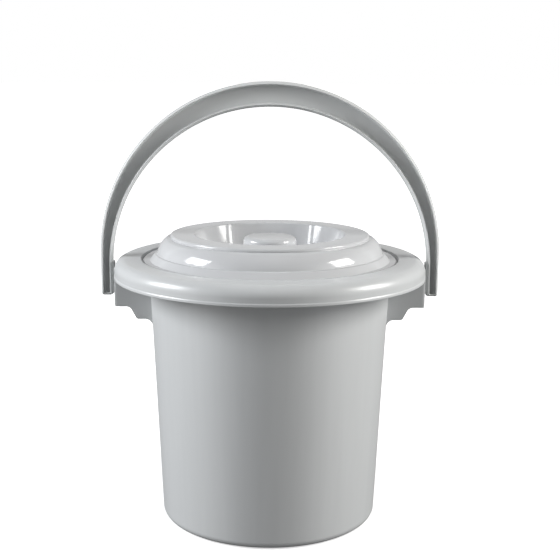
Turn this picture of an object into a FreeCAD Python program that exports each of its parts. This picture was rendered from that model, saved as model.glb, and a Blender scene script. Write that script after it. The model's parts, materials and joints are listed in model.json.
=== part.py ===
"""Commode pail: a moulded polypropylene pail with a lift-off lid and a snap-in bail handle.

Units are millimetres.  +Z is up, -Y is the front, and the origin is the middle of the base
circle on the surface that the pail stands on.  Each piece is one moulding and one solid:
the pail with its rim and its two hinge lugs, the lid with its recessed grip, and the bail.
"""
import FreeCAD, Part
import math
import os

V = FreeCAD.Vector

# ---- Pail wall and base -------------------------------------------------------------------
WALL = 2.4                # wall thickness of the pail
BASE_R = 104.9            # outer radius of the wall, carried down to the standing surface
TAPER = 0.0466            # growth of the wall's radius for each millimetre of height
BASE_EDGE_R = 7.5         # rounding between the wall and the base
KICK_R = 88.0             # radius of the raised middle of the base
KICK_H = 2.0              # how far that middle is raised, so the pail stands on a ring

# ---- Rim of the pail ----------------------------------------------------------------------
RIM_TOP_Z = 256.8         # top of the rim
RIM_R = 150.0             # outer radius of the rim's lower lip, the widest circle
SKIRT_R = 149.5           # outer radius of the rim's upright skirt
SKIRT_T = 2.0             # thickness of that skirt
RIM_ROUND = 10.5          # rounding between the rim's top and its skirt
LIP_Z = RIM_TOP_Z - 18.2  # lower edge of the skirt
LIP_H = 2.2               # height of the thickened lip at that edge
SEAT_R = 122.7            # outer radius of the recessed seat for the lid
SEAT_Z = RIM_TOP_Z - 2.8  # height of that seat
SEAT_RISE = 1.4           # how far outwards the step from the seat to the rim's top leans

# ---- Hinge lugs under the rim -------------------------------------------------------------
LUG_X = 149.9             # distance of a lug's outer face from the axis
LUG_W = 24.0              # width of a lug, front plate to back plate
LUG_T = 2.2               # thickness of a lug's plates
LUG_TOE_Z = 208.9         # underside of a lug's outer toe
LUG_SHELF_Z = 196.6       # underside of a lug beside the pail's wall
LUG_TOE_X = 134.9         # corner where the toe's underside meets the sloped step
LUG_SHELF_X = 128.3       # corner where that step meets the inner underside
LUG_FILLET = 7.0          # concave rounding where the lug runs out on the wall

# ---- Lid ----------------------------------------------------------------------------------
LID_R = 121.9             # outer radius of the lid's flange
LID_T = 2.2               # wall thickness of the lid
FLANGE_T = 1.5            # thickness of the flange
STEP_R = 115.7            # foot of the sloped step above the flange
BEAD_R = 110.6            # small bead at the top of that step
BEAD_Z = 261.4            # height of the bead
DOME_R = 108.6            # foot of the domed face
FACE_R = 107.2            # corner where the domed face turns from steep to sloping
FACE_Z = 268.6            # height of that corner
FACE_ROUND = 20.0         # rounding there
SHOULDER_R = 99.3         # corner where the sloping face meets the shoulder
SHOULDER_ROUND = 8.0      # rounding there
DOME_TOP_Z = 276.2        # height of the shoulder, in the groove under the ring
RING_R = 95.8             # outer radius of the flat top ring
RING_Z = 279.6            # top of that ring
GROOVE_R = 94.6           # bottom of the groove under the ring
RECESS_R = 72.4           # mouth of the grip recess
RECESS_FLOOR_R = 66.4     # the recess narrows to this radius at its floor
RECESS_FLOOR_Z = 252.8    # height of that floor
KNOB_R = 25.3             # radius of the grip knob at its top
KNOB_FOOT_R = 26.6        # radius of the grip knob at the recess floor
KNOB_TOP_Z = 277.4        # top of the knob
KNOB_CROWN = 0.8          # how much the knob's top falls from the middle to its edge
PLUG_R = 112.6            # outer radius of the skirt that centres the lid in the mouth
PLUG_T = 2.0              # thickness of that skirt
PLUG_DEPTH = 7.7          # how far it reaches below the flange
PLUG_DRAFT = 0.4          # how much narrower it is at its lower edge

# ---- Bail handle --------------------------------------------------------------------------
HINGE_Z = 228.8           # height of the hinge axis, which runs along X
LEG_IN = 151.6            # inner face of a leg, and radius of the arch's inner edge
LEG_OUT = 163.7           # outer face of a leg, and radius of the arch's outer edge
ARCH_IN_Z = 248.6         # centre height of the inner edge's arc
ARCH_OUT_Z = 260.4        # centre height of the outer edge's arc
LEG_END_Z = 218.3         # lower end of the legs
LEG_END_R = 3.0           # rounding at the corners of that end
BAIL_DEPTH = 15.0         # depth of the handle from front to back
BAIL_FLANGE = 3.1         # thickness of the flange that runs round the handle's outline
BAIL_SLOPE = 1.9          # how far its outer and inner faces slope in at the front and the back
BAIL_SLOPE_D = 6.0        # depth over which they do
BAIL_WEB = 2.4            # thickness of the web in the middle of the section
POCKET_R = 1.0            # rounding at the corners of the pockets beside the web
PAD_X = 150.6             # inner face of the spacer pad on a leg
PAD_TOP_Z = 251.8         # top of the pad
PAD_W = 12.0              # width of the pad
PEG_R = 5.0               # radius of the snap-in hinge peg
PEG_CLEAR = 0.2           # radial clearance of the peg in its hole
BARB_R = 6.0              # radius of the barb that keeps the peg in its hole
BARB_GAP = 0.6            # play between the barb and the lug's plate
BARB_L = 4.5              # length of the barb
TIP_R = 4.0               # radius of the peg's tip
SPLIT_W = 2.0             # width of the split that lets the peg close up as it snaps in


def corner(before, point, after, radius):
    """Start, middle and end of the arc that rounds one corner of an outline."""
    back = (before - point).normalize()
    ahead = (after - point).normalize()
    half = back.getAngle(ahead) / 2.0
    reach = radius / math.tan(half)
    middle = (back + ahead).normalize() * (radius / math.sin(half) - radius)
    return point + back * reach, point + middle, point + ahead * reach


def rounded_wire(corners):
    """Closed wire through (x, z, rounding) corners in the XZ plane."""
    points = [V(x, 0, z) for x, z, _ in corners]
    pieces = []
    for i, (_, _, radius) in enumerate(corners):
        point = points[i]
        if radius > 0:
            pieces.append(corner(points[i - 1], point, points[(i + 1) % len(points)], radius))
        else:
            pieces.append((point, point, point))
    edges = []
    for i, (start, middle, end) in enumerate(pieces):
        if not start.isEqual(end, 1e-6):
            edges.append(Part.Arc(start, middle, end).toShape())
        following = pieces[(i + 1) % len(pieces)][0]
        if not end.isEqual(following, 1e-6):
            edges.append(Part.LineSegment(end, following).toShape())
    return Part.Wire(edges)


def turned(corners):
    """Solid of revolution about Z from a section given as (radius, z, rounding) corners."""
    face = Part.Face(rounded_wire(corners))
    return face.revolve(V(0, 0, 0), V(0, 0, 1), 360)


def slab(wire, y_from, y_to):
    """Solid between two planes of constant Y with an outline drawn in the XZ plane."""
    face = Part.Face(wire)
    face.translate(V(0, y_from, 0))
    return face.extrude(V(0, y_to - y_from, 0))


def inner_corner(before, point, after, distance):
    """Corner of the parallel outline that lies a distance to the right of a path's corner."""
    ahead = (V(after[0], 0, after[1]) - V(point[0], 0, point[1])).normalize()
    back = (V(point[0], 0, point[1]) - V(before[0], 0, before[1])).normalize()
    right = V(back.z, 0, -back.x) + V(ahead.z, 0, -ahead.x)
    reach = 2.0 * distance / right.Length ** 2
    return point[0] + right.x * reach, point[1] + right.z * reach


def wall_radius(z):
    """Outer radius of the pail's tapered wall at a height."""
    return BASE_R + TAPER * z


def pail_shell():
    """Base, tapered wall and hollow rim, turned as one section."""
    roof = RIM_TOP_Z - WALL
    low_roof = SEAT_Z - WALL
    seat_step = SEAT_R + SEAT_RISE
    floor = KICK_H + WALL
    skirt_in = SKIRT_R - SKIRT_T
    lip_top = LIP_Z + LIP_H
    section = [
        (0, KICK_H, 0),
        (KICK_R, KICK_H, 1.0),
        (KICK_R + 2 * KICK_H, 0, 0),
        (BASE_R, 0, BASE_EDGE_R),
        (wall_radius(low_roof), low_roof, 3.0),
        (seat_step, low_roof, 0.8),
        (seat_step + SEAT_RISE, roof, 0.8),
        (skirt_in, roof, RIM_ROUND - SKIRT_T),
        (skirt_in, LIP_Z, 0),
        (RIM_R, LIP_Z, 0.6),
        (RIM_R, lip_top, 0.6),
        (SKIRT_R, lip_top + 1.0, 0.4),
        (SKIRT_R, RIM_TOP_Z, RIM_ROUND),
        (seat_step, RIM_TOP_Z, 0.6),
        (SEAT_R, SEAT_Z, 0.4),
        (wall_radius(SEAT_Z) - WALL, SEAT_Z, 1.2),
        (wall_radius(floor) - WALL, floor, BASE_EDGE_R - WALL),
        (0, floor, 0),
    ]
    return turned(section)


def lug_outline():
    """Side outline of the right-hand lug, with its stepped S-shaped underside.

    Its upper edge runs inside the thickness of the rim's roof and skirt, and its inner edge
    inside the pail's wall, so that nothing of it shows through on the other side.
    """
    wall_x = wall_radius(LUG_SHELF_Z) - 0.8
    buried_x = wall_x - 1.0
    fillet_z = LUG_SHELF_Z - LUG_FILLET
    middle_r = RIM_ROUND - SKIRT_T / 2.0
    centre_x = SKIRT_R - RIM_ROUND
    centre_z = RIM_TOP_Z - RIM_ROUND
    shoulder = middle_r * math.sqrt(0.5)
    return rounded_wire([
        (buried_x, fillet_z - 0.5, 0),
        (wall_x, fillet_z - 0.5, 0),
        (wall_x, LUG_SHELF_Z, LUG_FILLET),
        (LUG_SHELF_X, LUG_SHELF_Z, 3.5),
        (LUG_TOE_X, LUG_TOE_Z, 6.0),
        (LUG_X, LUG_TOE_Z, 0),
        (LUG_X, centre_z, 0),
        (centre_x + middle_r, centre_z, 0),
        (centre_x + shoulder, centre_z + shoulder, 0),
        (centre_x, centre_z + middle_r, 0),
        (SEAT_R + 2 * SEAT_RISE, centre_z + middle_r, 0),
        (SEAT_R, SEAT_Z - WALL / 2.0, 0),
        (wall_radius(SEAT_Z) - WALL / 2.0, SEAT_Z - WALL / 2.0, 0),
    ])


def lug():
    """Right-hand hinge lug: front, back and outer plates, open below, with the peg's hole."""
    half = LUG_W / 2.0
    block = slab(lug_outline(), -half, half)
    pocket = Part.makeBox(LUG_X - LUG_T, LUG_W - 2 * LUG_T, RIM_TOP_Z, V(0, LUG_T - half, 0))
    hole = Part.makeCylinder(PEG_R + PEG_CLEAR, 3 * LUG_T, V(LUG_X - 2 * LUG_T, 0, HINGE_Z),
                             V(1, 0, 0))
    return block.cut(pocket).cut(hole)


def mirrored(shape):
    """The same shape on the other side of the YZ plane."""
    return shape.mirror(V(0, 0, 0), V(1, 0, 0))


def pail():
    """The whole pail moulding."""
    right = lug()
    return pail_shell().fuse([right, mirrored(right)]).removeSplitter()


def lid():
    """Lid moulding: flange, step, rounded shoulder, top ring and recess with its knob."""
    knob_edge = KNOB_TOP_Z - KNOB_CROWN
    flange_top = SEAT_Z + FLANGE_T
    groove_in = GROOVE_R - LID_T
    dome_in = DOME_R - LID_T
    groove = (GROOVE_R, DOME_TOP_Z)
    shoulder = (SHOULDER_R, DOME_TOP_Z)
    face = (FACE_R, FACE_Z)
    foot = (DOME_R, BEAD_Z + 0.4)
    shoulder_in = inner_corner(groove, shoulder, face, LID_T)
    face_in = inner_corner(shoulder, face, foot, LID_T)
    plug_in = PLUG_R - PLUG_T
    plug_foot = SEAT_Z - PLUG_DEPTH
    section = [
        (0, KNOB_TOP_Z, 0),
        (KNOB_R, knob_edge, 4.5),
        (KNOB_FOOT_R, RECESS_FLOOR_Z, 3.0),
        (RECESS_FLOOR_R, RECESS_FLOOR_Z, 5.0),
        (RECESS_R, RING_Z, 1.4),
        (RING_R, RING_Z, 2.0),
        (RING_R, DOME_TOP_Z + 0.6, 0.3),
        (*groove, 0.3),
        (*shoulder, SHOULDER_ROUND),
        (*face, FACE_ROUND),
        (*foot, 0),
        (BEAD_R, BEAD_Z, 0.7),
        (STEP_R, flange_top, 0.8),
        (LID_R, flange_top, 0.7),
        (LID_R, SEAT_Z, 0.3),
        (PLUG_R, SEAT_Z, 0.4),
        (PLUG_R - PLUG_DRAFT, plug_foot, 0.6),
        (plug_in, plug_foot, 0.6),
        (plug_in, SEAT_Z + 0.8, 1.0),
        (dome_in, BEAD_Z - 2.6, 1.0),
        (*face_in, FACE_ROUND - LID_T),
        (*shoulder_in, SHOULDER_ROUND - LID_T),
        (groove_in, DOME_TOP_Z - LID_T, 0.6),
        (groove_in, RING_Z - LID_T, 0.6),
        (RECESS_R + LID_T, RING_Z - LID_T, 1.0),
        (RECESS_FLOOR_R + LID_T, RECESS_FLOOR_Z - LID_T, 6.0),
        (KNOB_FOOT_R - LID_T, RECESS_FLOOR_Z - LID_T, 1.0),
        (KNOB_R - LID_T, knob_edge - LID_T, 2.4),
        (0, KNOB_TOP_Z - LID_T, 0),
    ]
    return turned(section)


def bail_outline(inset):
    """Outline of the handle in the XZ plane, moved inwards on every side by an inset."""
    inner = LEG_IN + inset
    outer = LEG_OUT - inset
    end = LEG_END_Z + inset
    rounding = max(LEG_END_R - inset, POCKET_R)
    turn = rounding * (1.0 - math.sqrt(0.5))

    def line(x1, z1, x2, z2):
        return Part.LineSegment(V(x1, 0, z1), V(x2, 0, z2)).toShape()

    def arc(x1, z1, x2, z2, x3, z3):
        return Part.Arc(V(x1, 0, z1), V(x2, 0, z2), V(x3, 0, z3)).toShape()

    edges = [
        arc(-inner, ARCH_IN_Z, 0, ARCH_IN_Z + inner, inner, ARCH_IN_Z),
        arc(-outer, ARCH_OUT_Z, 0, ARCH_OUT_Z + outer, outer, ARCH_OUT_Z),
    ]
    for side in (-1, 1):
        near = side * (inner + rounding)
        far = side * (outer - rounding)
        edges += [
            line(side * inner, ARCH_IN_Z, side * inner, end + rounding),
            arc(side * inner, end + rounding, side * (inner + turn), end + turn, near, end),
            line(near, end, far, end),
            arc(far, end, side * (outer - turn), end + turn, side * outer, end + rounding),
            line(side * outer, end + rounding, side * outer, ARCH_OUT_Z),
        ]
    return Part.Wire(Part.__sortEdges__(edges))


def hinge_peg():
    """Right-hand spacer pad and split snap-in peg, pointing at the pail along -X."""
    root_x = LEG_IN + 1.0
    barb_x = LUG_X - LUG_T - BARB_GAP
    pad_top = rounded_wire([
        (PAD_X, LEG_END_Z + LEG_END_R, 0.8),
        (root_x, LEG_END_Z + LEG_END_R - 0.6, 0),
        (root_x, PAD_TOP_Z + 1.2, 0),
        (PAD_X, PAD_TOP_Z, 0.8),
    ])
    pad = slab(pad_top, -PAD_W / 2.0, PAD_W / 2.0)
    shank = Part.makeCylinder(PEG_R, root_x - barb_x, V(barb_x, 0, HINGE_Z), V(1, 0, 0))
    barb = Part.makeCone(TIP_R, BARB_R, BARB_L, V(barb_x - BARB_L, 0, HINGE_Z), V(1, 0, 0))
    split_l = BARB_L + BARB_GAP + LUG_T
    split = Part.makeBox(split_l, 2 * BARB_R + 2, SPLIT_W,
                         V(barb_x - BARB_L, -BARB_R - 1, HINGE_Z - SPLIT_W / 2.0))
    return pad.fuse(shank.fuse(barb).cut(split))


def bail():
    """Bail handle: a web inside an all-round flange, with a hinge peg at each leg."""
    half = BAIL_DEPTH / 2.0
    handle = slab(bail_outline(0), -half, half)
    outline = [edge for edge in handle.Edges if abs(edge.CenterOfMass.y) > BAIL_WEB]
    handle = handle.makeChamfer(BAIL_SLOPE_D, BAIL_SLOPE, outline)
    for side in (-1, 1):
        pocket = slab(bail_outline(BAIL_FLANGE), side * BAIL_WEB / 2.0, side * (half + 1.0))
        handle = handle.cut(pocket)
    peg = hinge_peg()
    return handle.fuse([peg, mirrored(peg)]).removeSplitter()


def single_solid(shape):
    """The one solid of a moulding, checked to be sound."""
    solid = shape.Solids[0]
    if len(shape.Solids) != 1 or not solid.isValid():
        raise ValueError("a moulding has to be one valid solid")
    return solid


os.makedirs("parts", exist_ok=True)
for node, shape in (("pail", pail()), ("lid", lid()), ("bail_handle", bail())):
    moulding = single_solid(shape)
    moulding.exportStep("parts/" + node + ".step")
    print(node, "volume %.1f cm3" % (moulding.Volume / 1000.0), moulding.BoundBox)
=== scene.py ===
"""Commode pail, its lift-off lid and its bail handle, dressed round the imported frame.

Lengths are millimetres unless a name says metres, and are turned into metres as a mesh is
written.  +Z is up, -Y is the front, and the hinge axis of the bail runs along X.
"""
import sys

import json
import logging
import math
from dataclasses import dataclass
from enum import Enum
from typing import Any

import bpy
import numpy as np
from mathutils import Matrix, Vector

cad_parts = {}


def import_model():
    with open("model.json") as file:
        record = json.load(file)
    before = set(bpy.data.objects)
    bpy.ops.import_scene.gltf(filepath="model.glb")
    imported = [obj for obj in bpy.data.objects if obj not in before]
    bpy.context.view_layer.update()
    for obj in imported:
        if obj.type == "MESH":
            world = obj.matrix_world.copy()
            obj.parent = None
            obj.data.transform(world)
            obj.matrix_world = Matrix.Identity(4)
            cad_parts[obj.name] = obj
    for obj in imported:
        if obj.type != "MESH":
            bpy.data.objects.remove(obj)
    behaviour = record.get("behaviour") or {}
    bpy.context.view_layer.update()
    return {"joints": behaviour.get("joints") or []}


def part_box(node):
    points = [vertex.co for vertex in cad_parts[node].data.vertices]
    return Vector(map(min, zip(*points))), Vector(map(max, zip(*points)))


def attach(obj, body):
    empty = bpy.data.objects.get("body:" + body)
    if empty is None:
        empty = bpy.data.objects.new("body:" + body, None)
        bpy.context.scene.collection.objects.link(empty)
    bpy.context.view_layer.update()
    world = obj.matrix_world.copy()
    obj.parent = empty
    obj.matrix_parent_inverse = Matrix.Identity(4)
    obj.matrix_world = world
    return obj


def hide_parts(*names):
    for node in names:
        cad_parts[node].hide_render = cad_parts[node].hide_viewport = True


MM = 0.001
CYLINDER_SEGMENTS = 64
EVEN_NORMALS_WEIGHT = 50
log = logging.getLogger("commode_pail")


class Body(Enum):
    """The moving bodies of the frame."""

    PAIL = "pail"
    LID = "lid"
    BAIL = "bail"


class Combining(Enum):
    """The two ways in which one closed mesh changes another."""

    JOIN = "UNION"
    CUT = "DIFFERENCE"


# ---- Outlines and surfaces ----------------------------------------------------------------
@dataclass
class Surface:
    """A closed surface: vertices in millimetres, and blocks of faces with equal corner counts."""

    vertices: np.ndarray
    blocks: list[np.ndarray]

    def volume(self) -> float:
        """Volume inside the faces: the sum of the cones from the origin to each fan triangle."""
        total = 0.0
        for block in self.blocks:
            corners = self.vertices[block]
            first = corners[:, :1]
            cones = np.cross(corners[:, 1:-1], corners[:, 2:]) * first
            total += cones.sum() / 6.0
        return total

    def outward(self) -> "Surface":
        """The same surface with its faces turned to look outwards."""
        if self.volume() < 0:
            self.blocks = [block[:, ::-1] for block in self.blocks]
        return self

    def mirrored(self) -> "Surface":
        """The same surface on the other side of the YZ plane."""
        flipped = self.vertices * np.array([-1.0, 1.0, 1.0])
        return Surface(flipped, [block[:, ::-1] for block in self.blocks])


def unit(vectors: np.ndarray) -> np.ndarray:
    """Rows scaled to length one, with rows of no length left as they are."""
    length = np.linalg.norm(vectors, axis=1, keepdims=True)
    return vectors / np.where(length > 1e-9, length, 1.0)


def rounded_outline(corners: list[tuple[float, float, float]]) -> np.ndarray:
    """Points of an outline whose corners are rounded by arcs.

    A corner's arc begins radius / tan(half its angle) before the corner, round a centre that
    lies radius / sin(half its angle) away along the bisector.  The angle between two points of
    an arc shrinks with the square root of its radius, so that large arcs stay smooth.

    Args:
        corners: Rows of (across, up, radius).  A corner without radius stays sharp.

    Returns:
        One row of (across, up) for each point, in the order of the corners.
    """
    table = np.array(corners, float)
    points, radii = table[:, :2], table[:, 2]
    back = unit(np.roll(points, 1, axis=0) - points)
    ahead = unit(np.roll(points, -1, axis=0) - points)
    half = np.arccos(np.clip((back * ahead).sum(1), -1.0, 1.0)) / 2.0
    half = np.maximum(half, 1e-3)
    centres = points + unit(back + ahead) * (radii / np.sin(half))[:, None]
    starts = points + back * (radii / np.tan(half))[:, None] - centres
    ends = points + ahead * (radii / np.tan(half))[:, None] - centres
    first = np.arctan2(starts[:, 1], starts[:, 0])
    turn = np.arctan2(ends[:, 1], ends[:, 0]) - first
    turn = (turn + np.pi) % (2.0 * np.pi) - np.pi
    step = np.radians(np.clip(13.0 / np.sqrt(np.maximum(radii, 0.1)), 2.5, 16.0))
    counts = np.where(radii > 0, np.ceil(np.abs(turn) / step).astype(int) + 1, 1)
    owner = np.repeat(np.arange(len(table)), counts)
    place = np.arange(counts.sum()) - np.repeat(np.cumsum(counts) - counts, counts)
    share = place / np.maximum(counts[owner] - 1, 1)
    angles = first[owner] + turn[owner] * share
    spokes = np.column_stack([np.cos(angles), np.sin(angles)])
    path = centres[owner] + radii[owner][:, None] * spokes
    keep = np.r_[True, np.linalg.norm(np.diff(path, axis=0), axis=1) > 1e-5]
    return path[keep]


def held(path: np.ndarray, hold: float, longest: float) -> np.ndarray:
    """A path with extra points on its long stretches, so that shading stays flat on them.

    Args:
        path: Rows of (across, up).
        hold: Distance of the extra points from the two ends of a stretch.
        longest: Spacing of the points between those two.

    Returns:
        The path's own points and the extra ones, in order.
    """
    gaps = np.linalg.norm(np.diff(path, axis=0), axis=1)
    along = np.r_[0.0, np.cumsum(gaps)]
    long = gaps > 3.0 * hold
    starts, ends = along[:-1][long], along[1:][long]
    between = np.arange(longest, along[-1], longest)
    stretch = np.clip(np.searchsorted(along, between) - 1, 0, len(gaps) - 1)
    inside = long[stretch]
    inside &= between - along[stretch] > 2.0 * hold
    inside &= along[stretch + 1] - between > 2.0 * hold
    marks = np.unique(np.r_[along, starts + hold, ends - hold, between[inside]])
    return np.column_stack([np.interp(marks, along, path[:, i]) for i in (0, 1)])


def grid_faces(rows: int, columns: int, wrap_rows: bool, wrap_columns: bool) -> np.ndarray:
    """Quads between the neighbours of a grid of vertices, numbered row by row.

    Args:
        rows: Number of rows of vertices.
        columns: Number of vertices in a row.
        wrap_rows: Whether the last row joins the first.
        wrap_columns: Whether the last column joins the first.

    Returns:
        One row of four vertex numbers for each quad.
    """
    index = np.arange(rows * columns).reshape(rows, columns)
    index = np.vstack([index, index[:1]]) if wrap_rows else index
    index = np.hstack([index, index[:, :1]]) if wrap_columns else index
    quads = [index[:-1, :-1], index[:-1, 1:], index[1:, 1:], index[1:, :-1]]
    return np.stack(quads, axis=-1).reshape(-1, 4)


def turned(section: np.ndarray, segments: int) -> Surface:
    """Solid of revolution about Z of a section that starts and ends on the axis.

    Vertex (i, j) stands at radius section[j, 0] and height section[j, 1], turned by i times
    the full circle / segments.  The two ends of the section become single pole vertices.

    Args:
        section: Rows of (radius, height).
        segments: Number of steps round the circle.

    Returns:
        The closed surface.
    """
    angles = np.arange(segments) * (2.0 * np.pi / segments)
    ring, height = section[1:-1, 0], section[1:-1, 1]
    columns = len(ring)
    body = np.stack([
        np.cos(angles)[:, None] * ring,
        np.sin(angles)[:, None] * ring,
        np.broadcast_to(height, (segments, columns)),
    ], axis=-1).reshape(-1, 3)
    poles = np.array([[0.0, 0.0, section[0, 1]], [0.0, 0.0, section[-1, 1]]])
    quads = grid_faces(segments, columns, wrap_rows=True, wrap_columns=False)
    here = np.arange(segments) * columns
    after = np.roll(here, -1)
    low_pole, high_pole = len(body), len(body) + 1
    low = np.column_stack([np.full(segments, low_pole), here, after])
    last = columns - 1
    high = np.column_stack([np.full(segments, high_pole), after + last, here + last])
    return Surface(np.vstack([body, poles]), [quads, low, high]).outward()


def stacked(rings: np.ndarray) -> Surface:
    """Solid through a stack of closed rings, each with the same number of points.

    Args:
        rings: Array of (ring, point, xyz).  The first and the last ring become flat ends.

    Returns:
        The closed surface.
    """
    count, points = rings.shape[:2]
    quads = grid_faces(count, points, wrap_rows=False, wrap_columns=True)
    first = np.arange(points)[None, ::-1]
    last = (np.arange(points) + (count - 1) * points)[None]
    return Surface(rings.reshape(-1, 3), [quads, first, last]).outward()


def cylinder_x(radius: float, x_from: float, x_to: float, z: float) -> Surface:
    """Closed cylinder along X, as a stack of two circles.

    Args:
        radius: Radius of the cylinder.
        x_from: Distance at which it begins.
        x_to: Distance at which it ends.
        z: Height of its axis.

    Returns:
        The closed surface.
    """
    angles = np.linspace(0.0, 2.0 * np.pi, CYLINDER_SEGMENTS, endpoint=False)
    circle = np.column_stack([
        np.zeros_like(angles), radius * np.cos(angles), z + radius * np.sin(angles)])
    return stacked(np.stack([circle + [x_from, 0.0, 0.0], circle + [x_to, 0.0, 0.0]]))


def mesh_object(name: str, surface: Surface) -> bpy.types.Object:
    """Blender object of a surface, at the origin, with its place in its mesh in metres.

    Args:
        name: Name of the object and of its mesh.
        surface: The surface that becomes the mesh.

    Returns:
        The object, linked to the scene.
    """
    mesh = bpy.data.meshes.new(name)
    faces = [face for block in surface.blocks for face in block.tolist()]
    mesh.from_pydata((surface.vertices * MM).tolist(), [], faces)
    mesh.update()
    piece = bpy.data.objects.new(name, mesh)
    bpy.context.scene.collection.objects.link(piece)
    return piece


def combine(piece: bpy.types.Object, surface: Surface, how: Combining) -> None:
    """Joins a closed surface to a piece, or cuts it out, and keeps the result as its mesh.

    Args:
        piece: The object whose mesh is changed.
        surface: The closed surface that changes it.
        how: Whether the surface is added or taken away.
    """
    tool = mesh_object(piece.name + "_tool", surface)
    modifier = piece.modifiers.new("combine", "BOOLEAN")
    modifier.operation = how.value
    modifier.solver = "MANIFOLD"
    modifier.object = tool
    bpy.context.view_layer.update()
    graph = bpy.context.evaluated_depsgraph_get()
    mesh = bpy.data.meshes.new_from_object(piece.evaluated_get(graph))
    piece.modifiers.clear()
    old = piece.data
    piece.data = mesh
    mesh.name = piece.name
    bpy.data.meshes.remove(old)
    tool_mesh = tool.data
    bpy.data.objects.remove(tool)
    bpy.data.meshes.remove(tool_mesh)


def smooth(piece: bpy.types.Object, crease_degrees: float) -> None:
    """Smooth shading, split only where two faces meet at more than an angle.

    Args:
        piece: The object whose mesh is shaded.
        crease_degrees: The angle from which an edge is sharp.
    """
    mesh = piece.data
    mesh.polygons.foreach_set("use_smooth", np.ones(len(mesh.polygons), bool))
    mesh.set_sharp_from_angle(angle=math.radians(crease_degrees))
    mesh.update()
    even = piece.modifiers.new("even_normals", "WEIGHTED_NORMAL")
    even.keep_sharp = True
    even.weight = EVEN_NORMALS_WEIGHT
    even.mode = "FACE_AREA_WITH_ANGLE"


# ---- Materials ----------------------------------------------------------------------------
def linear(hex_colour: str) -> tuple[float, float, float, float]:
    """Linear colour of an sRGB hex value such as 'A0B0C0', with full alpha."""
    srgb = np.array([int(hex_colour[i:i + 2], 16) for i in (0, 2, 4)]) / 255.0
    value = np.where(srgb <= 0.04045, srgb / 12.92, ((srgb + 0.055) / 1.055) ** 2.4)
    return (*value.tolist(), 1.0)


def add_node(tree: bpy.types.NodeTree, kind: str, settings: dict[str, Any],
             inputs: dict[str, Any]) -> bpy.types.Node:
    """Adds a shader node, sets its properties, and fills or links its inputs.

    Args:
        tree: Node tree that the node goes into.
        kind: Blender's name of the node type, without 'ShaderNode'.
        settings: Properties of the node itself.
        inputs: Value or output socket for each input, by name or by place.

    Returns:
        The new node.
    """
    node = tree.nodes.new("ShaderNode" + kind)
    for key, value in settings.items():
        setattr(node, key, value)
    for key, value in inputs.items():
        if isinstance(value, bpy.types.NodeSocket):
            tree.links.new(value, node.inputs[key])
        else:
            node.inputs[key].default_value = value
    return node


@dataclass(frozen=True)
class MouldedPolypropylene:
    """Pigmented polypropylene as it leaves a polished or a satin injection mould.

    The eye gets an even light grey, soft streaks where the pigment flowed, a gloss that varies
    a little with the mould's polish, and the faint waviness of a shrunken moulded skin.
    """

    name: str
    colour: str
    streak_colour: str
    roughness: float
    roughness_spread: float
    streak_size: tuple[float, float, float]
    waviness_size: float = 45.0
    waviness_depth: float = 0.02
    grain_size: float = 1.2
    grain_depth: float = 0.0004
    ior: float = 1.49

    def material(self) -> bpy.types.Material:
        """Builds the material."""
        material = bpy.data.materials.new(self.name)
        material.use_nodes = True
        tree = material.node_tree
        tree.nodes.clear()
        place = add_node(tree, "TexCoord", {}, {}).outputs["Object"]
        scale = tuple(1.0 / (size * MM) for size in self.streak_size)
        flow = add_node(tree, "Mapping", {}, {"Vector": place, "Scale": scale})
        streaks = add_node(tree, "TexNoise", {}, {
            "Vector": flow.outputs[0], "Scale": 1.0, "Detail": 3.0, "Roughness": 0.55})
        polish = add_node(tree, "TexNoise", {}, {
            "Vector": place, "Scale": 1.0 / (self.waviness_size * MM), "Detail": 2.0})
        colour = add_node(tree, "Mix", {"data_type": "RGBA"}, {
            0: streaks.outputs[0], 6: linear(self.colour), 7: linear(self.streak_colour)})
        roughness = add_node(tree, "Mix", {"data_type": "FLOAT"}, {
            0: polish.outputs[0], 2: self.roughness - self.roughness_spread,
            3: self.roughness + self.roughness_spread})
        waves = add_node(tree, "TexNoise", {}, {
            "Vector": place, "Scale": 1.0 / (self.waviness_size * MM), "Detail": 1.0})
        grain = add_node(tree, "TexNoise", {}, {
            "Vector": place, "Scale": 1.0 / (self.grain_size * MM), "Detail": 2.0})
        wavy = add_node(tree, "Bump", {}, {
            "Height": waves.outputs[0], "Distance": self.waviness_depth * MM})
        grainy = add_node(tree, "Bump", {}, {
            "Height": grain.outputs[0], "Distance": self.grain_depth * MM,
            "Normal": wavy.outputs[0]})
        shader = add_node(tree, "BsdfPrincipled", {}, {
            "Base Color": colour.outputs[2], "Roughness": roughness.outputs[0],
            "IOR": self.ior, "Normal": grainy.outputs[0]})
        add_node(tree, "OutputMaterial", {}, {"Surface": shader.outputs[0]})
        return material


PAIL_FINISH = MouldedPolypropylene(
    "satin_moulded_polypropylene", "C6C8C9", "CCCECF", 0.28, 0.01, (9.0, 9.0, 160.0))
LID_FINISH = MouldedPolypropylene(
    "polished_moulded_polypropylene", "C6C7C9", "CBCCCE", 0.09, 0.01, (30.0, 30.0, 30.0))
HANDLE_FINISH = MouldedPolypropylene(
    "gloss_moulded_polypropylene", "D0D2D2", "D5D7D7", 0.24, 0.01, (60.0, 9.0, 60.0))


def dress(piece: bpy.types.Object, finish: MouldedPolypropylene, body: Body,
          node: str) -> None:
    """Gives a piece its material and its body, and hides the CAD node that it stands for.

    Args:
        piece: The finished piece.
        finish: The finish that its material is made from.
        body: The body that the piece moves with.
        node: The CAD node that the piece replaces.
    """
    piece.data.materials.clear()
    piece.data.materials.append(finish.material())
    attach(piece, body.value)
    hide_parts(node)
    places = np.empty(3 * len(piece.data.vertices), np.float32)
    piece.data.vertices.foreach_get("co", places)
    places = places.reshape(-1, 3).astype(float)
    log.info("%s: %d faces, %s to %s", piece.name, len(piece.data.polygons),
             places.min(0).round(4).tolist(), places.max(0).round(4).tolist())


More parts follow.
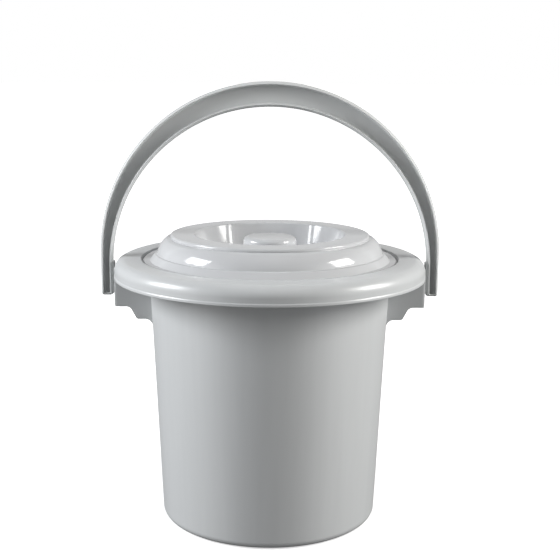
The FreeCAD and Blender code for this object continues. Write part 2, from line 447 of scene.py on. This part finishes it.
# ---- Pail ---------------------------------------------------------------------------------
@dataclass
class PailMoulding:
    """The pail in one moulding: tapered wall, base, hollow rim and two hinge lugs."""

    rim_top: float
    hinge_z: float
    rim_r: float = 150.0
    wall: float = 2.4
    base_r: float = 104.9
    taper: float = 0.0466
    base_round: float = 7.5
    kick_r: float = 88.0
    kick_h: float = 2.0
    skirt_in_from_lip: float = 0.5
    skirt_t: float = 2.0
    rim_round: float = 10.5
    rim_depth: float = 18.2
    lip_h: float = 2.2
    seat_r: float = 122.7
    seat_drop: float = 2.8
    seat_rise: float = 1.4
    lug_half_width: float = 12.0
    lug_t: float = 2.2
    lug_x: float = 149.9
    lug_toe_drop: float = 47.9
    lug_shelf_drop: float = 60.2
    lug_toe_x: float = 134.9
    lug_shelf_x: float = 128.3
    lug_fillet: float = 7.0
    lug_root: float = 0.4
    lug_shelf_round: float = 3.5
    lug_toe_round: float = 6.0
    lug_corner: float = 1.1
    lug_corner_in: float = 0.4
    lug_edge: float = 0.45
    lug_overlap: float = 0.3
    lug_end_points: int = 25
    peg_hole_r: float = 5.2
    peg_hole_past: float = 3.0
    segments: int = 288

    def wall_radius(self, z: float) -> float:
        """Outer radius of the tapered wall at a height."""
        return self.base_r + self.taper * z

    def section(self) -> np.ndarray:
        """Half section of base, wall and rim, from the underside's pole to the floor's."""
        roof = self.rim_top - self.wall
        seat_z = self.rim_top - self.seat_drop
        low_roof = seat_z - self.wall
        step = self.seat_r + self.seat_rise
        skirt = self.rim_r - self.skirt_in_from_lip
        skirt_in = skirt - self.skirt_t
        lip_z = self.rim_top - self.rim_depth
        lip_top = lip_z + self.lip_h
        floor = self.kick_h + self.wall
        corners = [
            (0, self.kick_h, 0),
            (self.kick_r, self.kick_h, 1.5),
            (self.kick_r + 2 * self.kick_h, 0.0, 0.8),
            (self.base_r, 0, self.base_round),
            (self.wall_radius(low_roof), low_roof, 3.0),
            (step, low_roof, 0.8),
            (step + self.seat_rise, roof, 0.8),
            (skirt_in, roof, self.rim_round - self.skirt_t),
            (skirt_in, lip_z, 0.5),
            (self.rim_r, lip_z, 0.6),
            (self.rim_r, lip_top, 0.6),
            (skirt, lip_top + 1.0, 0.4),
            (skirt, self.rim_top, self.rim_round),
            (step, self.rim_top, 0.6),
            (self.seat_r, seat_z, 0.4),
            (self.wall_radius(seat_z) - self.wall, seat_z, 1.2),
            (self.wall_radius(floor) - self.wall, floor, self.base_round - self.wall),
            (0, floor, 0),
        ]
        return held(rounded_outline(corners), 0.3, 9.0)

    def lug(self) -> Surface:
        """Right-hand lug: one wall that runs out, across and back, open below.

        Station k of the wall has an outer and an inner point in plan, which follow two rounded
        U-shaped outlines.  Its lower edge takes its height from the lug's stepped side outline
        at that distance from the axis, and its upper edge stays inside the rim's thickness.
        """
        toe_z = self.rim_top - self.lug_toe_drop
        shelf_z = self.rim_top - self.lug_shelf_drop
        inner_x = self.wall_radius(shelf_z) - 0.5 * self.wall
        side = held(rounded_outline([
            (inner_x, shelf_z - self.lug_fillet - 0.5, 0),
            (inner_x + self.lug_root, shelf_z - self.lug_fillet, 0),
            (inner_x + self.lug_root, shelf_z, self.lug_fillet),
            (self.lug_shelf_x, shelf_z, self.lug_shelf_round),
            (self.lug_toe_x, toe_z, self.lug_toe_round),
            (self.lug_x - 2.0 * self.lug_t, toe_z, 0),
        ]), 0.4, 4.0)
        half_in = self.lug_half_width - self.lug_t
        outer = self.bend(self.lug_x, self.lug_half_width, self.lug_corner)
        inner = self.bend(self.lug_x - self.lug_t, half_in, self.lug_corner_in)
        count = len(side)
        far = np.full(len(outer), toe_z)
        edge_z = np.r_[side[:, 1], far, side[::-1, 1]]
        plan_out = np.vstack([
            np.column_stack([side[:, 0], np.full(count, -self.lug_half_width)]), outer,
            np.column_stack([side[::-1, 0], np.full(count, self.lug_half_width)])])
        plan_in = np.vstack([
            np.column_stack([side[:, 0], np.full(count, -half_in)]), inner,
            np.column_stack([side[::-1, 0], np.full(count, half_in)])])
        turn = np.linspace(0.0, np.pi / 2.0, 5)
        edge = self.lug_edge
        across_low = edge * (1.0 - np.sin(turn))
        up_low = edge * (1.0 - np.cos(turn))
        across = np.r_[across_low[::-1], 0.0, 0.0, 0.0, self.lug_t, self.lug_t, self.lug_t,
                       self.lug_t - across_low]
        climb = np.r_[up_low, 0.05, 0.5, 1.0, 1.0, 0.5, 0.05, up_low[::-1]]
        lifted = np.r_[np.zeros(5), np.ones(6), np.zeros(5)]
        plan = plan_out[:, None] + (plan_in - plan_out)[:, None] * (across / self.lug_t)[:, None]
        reach = np.hypot(plan[..., 0], plan[..., 1])
        centre_r = self.rim_r - self.skirt_in_from_lip - self.rim_round
        middle = self.rim_round - 0.5 * self.skirt_t
        bulge = np.sqrt(np.clip(middle ** 2 - np.clip(reach - centre_r, 0.0, None) ** 2, 0.0, None))
        top_z = self.rim_top - self.rim_round + bulge
        near = reach < self.seat_r + 2.0
        top_z = np.where(near, self.rim_top - self.seat_drop - 0.5 * self.wall, top_z)
        low_z = np.broadcast_to(edge_z[:, None], top_z.shape)
        height = np.where(lifted, low_z + edge + (top_z - low_z - edge) * climb, low_z + climb)
        out_share = (plan[..., 0] - inner_x) / (self.lug_x - inner_x)
        lean = np.clip(1.0 - out_share * 4.0, 0.0, 1.0) * self.taper * (height - shelf_z)
        points = np.stack([plan[..., 0] + lean, plan[..., 1], height], axis=-1)
        return stacked(points)

    def bend(self, x: float, half: float, radius: float) -> np.ndarray:
        """Plan of a lug's outer end, which runs along +Y with two rounded corners.

        Args:
            x: Distance of the end from the YZ plane.
            half: Half of its width.
            radius: Radius of its corners.

        Returns:
            Evenly spaced rows of (x, y).
        """
        start = self.lug_x - 2.0 * self.lug_t + self.lug_overlap
        path = rounded_outline([
            (start, -half, 0), (x, -half, radius), (x, half, radius), (start, half, 0)])
        steady = np.linspace(0.0, 1.0, self.lug_end_points)
        gaps = np.linalg.norm(np.diff(path, axis=0), axis=1)
        along = np.r_[0.0, np.cumsum(gaps)] / gaps.sum()
        return np.column_stack([np.interp(steady, along, path[:, i]) for i in (0, 1)])

    def peg_hole(self) -> Surface:
        """Cylinder along X that opens the right-hand lug's outer plate for the hinge peg."""
        return cylinder_x(self.peg_hole_r, self.lug_x - 2.0 * self.lug_t,
                          self.lug_x + self.peg_hole_past, self.hinge_z)

    def build(self) -> bpy.types.Object:
        """Builds and dresses the pail."""
        piece = mesh_object("pail_moulding", turned(self.section(), self.segments))
        right, hole = self.lug(), self.peg_hole()
        for lug, bore in ((right, hole), (right.mirrored(), hole.mirrored())):
            combine(piece, lug, Combining.JOIN)
            combine(piece, bore, Combining.CUT)
        smooth(piece, 38.0)
        dress(piece, PAIL_FINISH, Body.PAIL, "pail")
        return piece


# ---- Lid ----------------------------------------------------------------------------------
@dataclass
class LidMoulding:
    """The lift-off lid: flange, sloped step, domed face, top ring and grip recess with knob."""

    top: float
    seat: float
    wall: float = 2.2
    flange_r: float = 121.9
    flange_t: float = 1.5
    step_r: float = 115.7
    bead_r: float = 110.6
    bead_up: float = 7.4
    dome_r: float = 108.6
    face_r: float = 107.2
    face_up: float = 14.6
    face_round: float = 20.0
    shoulder_r: float = 99.3
    shoulder_round: float = 8.0
    shoulder_drop: float = 3.4
    ring_r: float = 95.8
    groove_r: float = 94.6
    recess_r: float = 72.4
    recess_floor_r: float = 66.4
    recess_depth: float = 26.8
    knob_r: float = 25.3
    knob_foot_r: float = 26.6
    knob_drop: float = 2.2
    knob_crown: float = 0.8
    plug_r: float = 112.6
    plug_t: float = 2.0
    plug_depth: float = 7.7
    segments: int = 256

    def section(self) -> np.ndarray:
        """Half section from the top of the knob, over the lid and back under it."""
        wall, seat, top = self.wall, self.seat, self.top
        knob_top = top - self.knob_drop
        knob_edge = knob_top - self.knob_crown
        floor = top - self.recess_depth
        shoulder = top - self.shoulder_drop
        bead = seat + self.bead_up
        flange = seat + self.flange_t
        plug_in, plug_foot = self.plug_r - self.plug_t, seat - self.plug_depth
        corners = [
            (0, knob_top, 0),
            (self.knob_r, knob_edge, 4.5),
            (self.knob_foot_r, floor, 3.0),
            (self.recess_floor_r, floor, 5.0),
            (self.recess_r, top, 1.4),
            (self.ring_r, top, 2.0),
            (self.ring_r, shoulder + 0.6, 0.3),
            (self.groove_r, shoulder, 0.3),
            (self.shoulder_r, shoulder, self.shoulder_round),
            (self.face_r, seat + self.face_up, self.face_round),
            (self.dome_r, bead + 0.4, 0.25),
            (self.bead_r, bead, 0.7),
            (self.step_r, flange, 0.8),
            (self.flange_r, flange, 0.7),
            (self.flange_r, seat, 0.3),
            (self.plug_r, seat, 0.4),
            (self.plug_r - 0.4, plug_foot, 0.6),
            (plug_in, plug_foot, 0.6),
            (plug_in, seat + 0.8, 1.0),
            (self.dome_r - wall, bead - 2.6, 1.0),
            (self.face_r - 2.0, seat + self.face_up - 1.1, self.face_round - wall),
            (self.shoulder_r - 0.9, shoulder - wall, self.shoulder_round - wall),
            (self.groove_r - wall, shoulder - wall, 0.6),
            (self.groove_r - wall, top - wall, 0.6),
            (self.recess_r + wall, top - wall, 1.0),
            (self.recess_floor_r + wall, floor - wall, 6.0),
            (self.knob_foot_r - wall, floor - wall, 1.0),
            (self.knob_r - wall, knob_edge - wall, 2.4),
            (0, knob_top - wall, 0),
        ]
        return held(rounded_outline(corners), 0.3, 7.0)

    def build(self) -> bpy.types.Object:
        """Builds and dresses the lid."""
        piece = mesh_object("lid_moulding", turned(self.section(), self.segments))
        smooth(piece, 50.0)
        dress(piece, LID_FINISH, Body.LID, "lid")
        return piece


# ---- Bail handle --------------------------------------------------------------------------
@dataclass
class BailHandle:
    """The arched handle: a web inside an all-round flange, with pads and split hinge pegs."""

    leg_out: float
    leg_end: float
    arch_top: float
    hinge_z: float
    leg_in: float = 151.6
    arch_inner_drop: float = 23.9
    depth: float = 15.0
    flange: float = 3.1
    crown: float = 1.9
    web: float = 2.4
    end_round: float = 3.0
    draft: float = 0.14
    edge_round: float = 0.65
    web_fillet: float = 1.2
    pad_x: float = 150.6
    pad_top: float = 251.8
    pad_w: float = 12.0
    pad_edge: float = 0.5
    pad_corner: float = 1.2
    pad_root: float = 2.2
    peg_r: float = 5.0
    barb_r: float = 6.0
    barb_l: float = 4.5
    barb_x: float = 147.1
    barb_lip: float = 0.2
    barb_lead: float = 0.25
    peg_root: float = 1.5
    peg_overlap: float = 0.1
    barb_step: float = 0.01
    tip_r: float = 4.0
    tip_round: float = 0.4
    slot_half: float = 1.0
    slot_end_x: float = 149.9
    stations: int = 150

    def loop(self, inset: float) -> np.ndarray:
        """Closed outline of the handle in the XZ plane, moved inwards by an inset.

        Going round, it climbs the left leg's outer edge, follows the outer arc to the right and
        comes down, then returns along the inner edge, so that point i faces point -1 - i.
        """
        centre_out = self.arch_top - self.leg_out
        centre_in = self.arch_top - self.arch_inner_drop - self.leg_in
        outer = self.edge(self.leg_out - inset, centre_out, inset, -1.0)
        inner = self.edge(self.leg_in + inset, centre_in, inset, 1.0)
        return np.vstack([outer, inner[::-1]])

    def edge(self, radius: float, centre_z: float, inset: float, outwards: float) -> np.ndarray:
        """One edge from the left leg's end over the arch to the right leg's end.

        A leg is straight with a quarter-round at its end, and the arch is half a circle.

        Args:
            radius: Distance of the leg's edge from the YZ plane, and radius of the arch.
            centre_z: Height of the arch's centre.
            inset: How far the outline is moved inwards.
            outwards: +1 if the leg's end turns outwards from this edge, -1 if inwards.

        Returns:
            Rows of (x, z).
        """
        rounding = max(self.end_round - inset, 1.0)
        end = self.leg_end + inset
        turn = np.linspace(np.pi / 2.0, 0.0, 7)
        corner = np.column_stack([
            radius + outwards * rounding * (1.0 - np.cos(turn)),
            end + rounding * (1.0 - np.sin(turn))])
        climb = np.linspace(end + rounding, centre_z, 16)[1:]
        leg = np.vstack([corner, np.column_stack([np.full(15, radius), climb])])
        sweep = np.linspace(np.pi, 0.0, self.stations)[1:-1]
        arch = np.column_stack([radius * np.cos(sweep), centre_z + radius * np.sin(sweep)])
        return np.vstack([leg * [-1.0, 1.0], arch, leg[::-1]])

    def frame_surface(self) -> Surface:
        """Flange and web: rings of the outline at growing insets, from web to web.

        Going over the flange's front edge, each ring has an inset and a depth: the web's fillet,
        the flange's inner face with its draft, the rounded edge, and the outer face, which is
        crowned: its inset grows with the square of the distance from the middle of the depth.
        """
        half = self.depth / 2.0
        web = self.web / 2.0
        root = self.flange + self.draft
        turn = np.linspace(0.0, np.pi / 2.0, 6)
        fillet = np.column_stack([
            root + self.web_fillet * (1.0 - np.sin(turn)),
            -web - self.web_fillet * (1.0 - np.cos(turn))])
        tip_in = self.flange - self.draft
        r = self.edge_round
        inner_edge = np.column_stack([
            tip_in - r * (1.0 - np.cos(turn)), -half + r * (1.0 - np.sin(turn))])
        outer_edge = np.column_stack([
            self.crown + r * (1.0 - np.sin(turn[:4])), -half + r * (1.0 - np.cos(turn[:4]))])
        start = outer_edge[-1]
        depth = start[1] * np.cos(np.linspace(0.0, np.pi / 2.0, 9)[1:])
        face = np.column_stack([start[0] * (depth / start[1]) ** 2, depth])
        front = np.vstack([fillet, inner_edge, outer_edge, face])
        back = front[-2::-1] * [1.0, -1.0]
        rings = np.vstack([front, back])
        loops = np.stack([self.loop(inset) for inset, _ in rings])
        depth = np.broadcast_to(rings[:, 1][:, None], loops.shape[:2])
        points = np.stack([loops[..., 0], depth, loops[..., 1]], axis=-1)
        count, size = loops.shape[:2]
        quads = grid_faces(count, size, wrap_rows=False, wrap_columns=True)
        near = np.arange(size // 2 - 1)
        web_front = np.column_stack([near, size - 1 - near, size - 2 - near, near + 1])
        web_back = web_front[:, ::-1] + (count - 1) * size
        return Surface(points.reshape(-1, 3), [quads, web_front, web_back]).outward()

    def pad(self) -> Surface:
        """Spacer pad on the right leg's inner face: rounded rectangles that close at its face."""
        low = self.leg_end + self.end_round
        half = self.pad_w / 2.0
        middle = 0.5 * (low + self.pad_top)
        reach = 0.5 * (self.pad_top - low)
        turn = np.linspace(0.0, np.pi / 2.0, 5)
        edge, corner = self.pad_edge, self.pad_corner
        rounding = np.column_stack([edge * (1 - np.cos(turn)), edge * (1 - np.sin(turn))])
        rings = []
        for inset, back in np.vstack([[[0.0, self.pad_root]], rounding]):
            left, right = -half + inset, half - inset
            foot, head = middle - reach + inset, middle + reach - inset
            outline = rounded_outline([
                (left, foot, corner), (right, foot, corner),
                (right, head, corner), (left, head, corner)])
            rings.append(np.column_stack([np.full(len(outline), self.pad_x + back), outline]))
        return stacked(np.stack(rings))

    def peg_halves(self) -> list[Surface]:
        """Solid root and the two halves of the split barbed peg on the right leg.

        Each half is a stack of D-shaped rings: an arc of the peg's radius at that distance, cut
        off by the slot, with its chord closed.
        """
        root = cylinder_x(self.peg_r, self.slot_end_x, self.pad_x + self.peg_root, self.hinge_z)
        tip_x = self.barb_x - self.barb_l
        stages = np.array([
            (self.slot_end_x + self.peg_overlap, self.peg_r),
            (self.barb_x + self.barb_step, self.peg_r),
            (self.barb_x, self.barb_r - self.barb_lip),
            (self.barb_x - self.barb_lead, self.barb_r),
            (tip_x + self.tip_round, self.tip_r + self.barb_lip),
            (tip_x, self.tip_r - self.tip_round)])
        start = np.arcsin(self.slot_half / stages[:, 1])
        share = np.linspace(0.0, 1.0, 33)
        angles = start[:, None] + (np.pi - 2.0 * start)[:, None] * share
        across = stages[:, 1][:, None] * np.cos(angles)
        up = stages[:, 1][:, None] * np.sin(angles)
        x = np.broadcast_to(stages[:, 0][:, None], across.shape)
        upper = np.stack([x, across, self.hinge_z + up], axis=-1)
        lower = np.stack([x, across, self.hinge_z - up], axis=-1)
        return [root, stacked(upper), stacked(lower)]

    def build(self) -> bpy.types.Object:
        """Builds and dresses the handle."""
        piece = mesh_object("bail_handle_moulding", self.frame_surface())
        for part in [self.pad(), *self.peg_halves()]:
            combine(piece, part, Combining.JOIN)
            combine(piece, part.mirrored(), Combining.JOIN)
        smooth(piece, 40.0)
        dress(piece, HANDLE_FINISH, Body.BAIL, "bail_handle")
        return piece


# ---- Studio -------------------------------------------------------------------------------
def toward(azimuth: float, elevation: float) -> Vector:
    """Direction from the object into the room.

    Args:
        azimuth: Degrees from the camera's side, with 90 on the right.
        elevation: Degrees above the horizon.

    Returns:
        The direction, with length one.
    """
    turn, lift = math.radians(azimuth), math.radians(elevation)
    return Vector((math.sin(turn) * math.cos(lift), -math.cos(turn) * math.cos(lift),
                   math.sin(lift)))


@dataclass(frozen=True)
class Softbox:
    """A diffuser with an even glow, aimed at the object: its power is radiance * pi * area."""

    name: str
    azimuth: float
    elevation: float
    distance: float
    width: float
    height: float
    radiance: float
    colour: str

    def build(self, aim: Vector) -> bpy.types.Object:
        """Adds the light, looking at a point."""
        lamp = bpy.data.lights.new(self.name, "AREA")
        lamp.shape = "RECTANGLE"
        lamp.size = self.width
        lamp.size_y = self.height
        lamp.energy = self.radiance * math.pi * self.width * self.height
        lamp.color = linear(self.colour)[:3]
        light = bpy.data.objects.new(self.name, lamp)
        away = toward(self.azimuth, self.elevation)
        light.matrix_world = (Matrix.Translation(aim + away * self.distance)
                              @ away.to_track_quat("Z", "Y").to_matrix().to_4x4())
        light.visible_camera = False
        bpy.context.scene.collection.objects.link(light)
        return light


@dataclass(frozen=True)
class Glow:
    """Soft light from one side of the room, with the angles of a softbox.

    Its radiance falls off as the cosine of the angle from its middle, raised to a sharpness.
    """

    azimuth: float
    elevation: float
    sharpness: float
    radiance: float

    def strength(self, tree: bpy.types.NodeTree,
                 direction: bpy.types.NodeSocket) -> bpy.types.NodeSocket:
        """Adds the nodes that give this glow's radiance in a direction.

        Args:
            tree: Node tree of the world.
            direction: Socket that gives the direction.

        Returns:
            Socket of the radiance.
        """
        middle = toward(self.azimuth, self.elevation)
        cosine = add_node(tree, "VectorMath", {"operation": "DOT_PRODUCT"}, {
            0: direction, 1: middle})
        ahead = add_node(tree, "Math", {"operation": "MAXIMUM"}, {
            0: cosine.outputs["Value"], 1: 0.0})
        lobe = add_node(tree, "Math", {"operation": "POWER"}, {
            0: ahead.outputs[0], 1: self.sharpness})
        return add_node(tree, "Math", {"operation": "MULTIPLY"}, {
            0: lobe.outputs[0], 1: self.radiance}).outputs[0]


@dataclass
class Studio:
    """Plain pale floor, white surroundings, two softboxes with a glow round them, the camera."""

    aim_height: float = 0.24
    camera_distance: float = 1.0827
    camera_height: float = 0.4439
    camera_tilt: float = 11.0
    camera_roll: float = 0.3
    lens_mm: float = 72.87
    shift: float = 0.0184
    softboxes: tuple[Softbox, ...] = (
        Softbox("softbox_left", -80.0, 24.0, 1.6, 0.68, 0.68, 18.5, "FBFDFF"),
        Softbox("softbox_right", 80.0, 24.0, 1.6, 0.68, 0.68, 17.5, "FFFEFB"),
    )
    glows: tuple[Glow, ...] = (
        Glow(-65.0, 0.0, 12.0, 1.8),
        Glow(65.0, 0.0, 12.0, 1.7),
        Glow(0.0, 40.0, 6.0, 0.2),
        Glow(180.0, 20.0, 4.0, 0.6),
    )
    even_glow: float = 0.04
    floor_r: float = 20000.0
    floor_corners: int = 96
    floor_fade_m: tuple[float, float] = (0.12, 0.6)
    floor_glow: tuple[float, float] = (0.55, 1.0)

    def camera(self) -> None:
        """Adds the camera, a little above the rim and tilted down."""
        data = bpy.data.cameras.new("camera")
        data.sensor_width = 36.0
        data.lens = self.lens_mm
        data.shift_x = self.shift
        data.clip_start = 0.05
        data.clip_end = 50.0
        camera = bpy.data.objects.new("camera", data)
        camera.matrix_world = (
            Matrix.Translation((0.0, -self.camera_distance, self.camera_height))
            @ Matrix.Rotation(math.radians(90.0 - self.camera_tilt), 4, "X")
            @ Matrix.Rotation(math.radians(self.camera_roll), 4, "Z"))
        bpy.context.scene.collection.objects.link(camera)
        bpy.context.scene.camera = camera

    def surroundings(self) -> None:
        """White to the camera, and to the object the sum of an even glow and the soft glows."""
        world = bpy.data.worlds.new("studio")
        bpy.context.scene.world = world
        world.use_nodes = True
        tree = world.node_tree
        tree.nodes.clear()
        direction = add_node(tree, "TexCoord", {}, {}).outputs["Generated"]
        total = add_node(tree, "Value", {}, {}).outputs[0]
        total.default_value = self.even_glow
        for lobe in self.glows:
            total = add_node(tree, "Math", {"operation": "ADD"}, {
                0: total, 1: lobe.strength(tree, direction)}).outputs[0]
        glow = add_node(tree, "Background", {}, {"Color": linear("FFFFFF"), "Strength": total})
        white = add_node(tree, "Background", {}, {"Color": linear("FFFFFF"), "Strength": 1.0})
        path = add_node(tree, "LightPath", {}, {})
        mix = add_node(tree, "MixShader", {}, {
            0: path.outputs["Is Camera Ray"], 1: glow.outputs[0], 2: white.outputs[0]})
        add_node(tree, "OutputWorld", {}, {"Surface": mix.outputs[0]})

    def floor(self) -> None:
        """Adds a wide round floor with a painted glow that brightens it to white away from the
        object.
        """
        angles = np.linspace(0.0, 2.0 * np.pi, self.floor_corners, endpoint=False)
        ring = np.column_stack([np.cos(angles), np.sin(angles), np.zeros_like(angles)])
        surface = Surface(ring * self.floor_r, [np.arange(self.floor_corners)[None]])
        floor = mesh_object("floor", surface)
        material = bpy.data.materials.new("painted_glow_floor")
        material.use_nodes = True
        tree = material.node_tree
        tree.nodes.clear()
        place = add_node(tree, "TexCoord", {}, {}).outputs["Object"]
        away = add_node(tree, "VectorMath", {"operation": "LENGTH"}, {0: place})
        fade = add_node(tree, "MapRange", {"interpolation_type": "SMOOTHSTEP"}, {
            "Value": away.outputs["Value"],
            "From Min": self.floor_fade_m[0], "From Max": self.floor_fade_m[1],
            "To Min": self.floor_glow[0], "To Max": self.floor_glow[1]})
        matt = add_node(tree, "BsdfDiffuse", {}, {"Color": linear("E8E8E8")})
        # Painted glow: emission that rises with distance from the object, from floor_glow[0] to
        # floor_glow[1] between the radii in floor_fade_m.
        glow = add_node(tree, "Emission", {}, {
            "Color": linear("FFFFFF"), "Strength": fade.outputs[0]})
        both = add_node(tree, "AddShader", {}, {0: matt.outputs[0], 1: glow.outputs[0]})
        add_node(tree, "OutputMaterial", {}, {"Surface": both.outputs[0]})
        floor.data.materials.append(material)
        floor.visible_diffuse = False
        floor.visible_glossy = False
        floor.visible_shadow = False

    def build(self) -> None:
        """Builds the studio and sets how light becomes colour."""
        bpy.context.scene.view_settings.view_transform = "Standard"
        self.camera()
        self.surroundings()
        self.floor()
        for softbox in self.softboxes:
            softbox.build(Vector((0.0, 0.0, self.aim_height)))


def main() -> None:
    """Loads the frame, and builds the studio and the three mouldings."""
    logging.basicConfig(level=logging.INFO, format="%(message)s", stream=sys.stdout)
    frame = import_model()
    hinge_z = next(joint["pos_m"][2] for joint in frame["joints"] if joint["type"] == "hinge") / MM
    pail_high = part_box("pail")[1] / MM
    lid_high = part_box("lid")[1] / MM
    bail_low, bail_high = (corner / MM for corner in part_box("bail_handle"))
    Studio().build()
    pail = PailMoulding(rim_top=pail_high.z, hinge_z=hinge_z)
    pail.build()
    LidMoulding(top=lid_high.z, seat=pail.rim_top - pail.seat_drop).build()
    BailHandle(leg_out=bail_high.x, leg_end=bail_low.z, arch_top=bail_high.z,
               hinge_z=hinge_z).build()


if __name__ == "__main__":
    main()
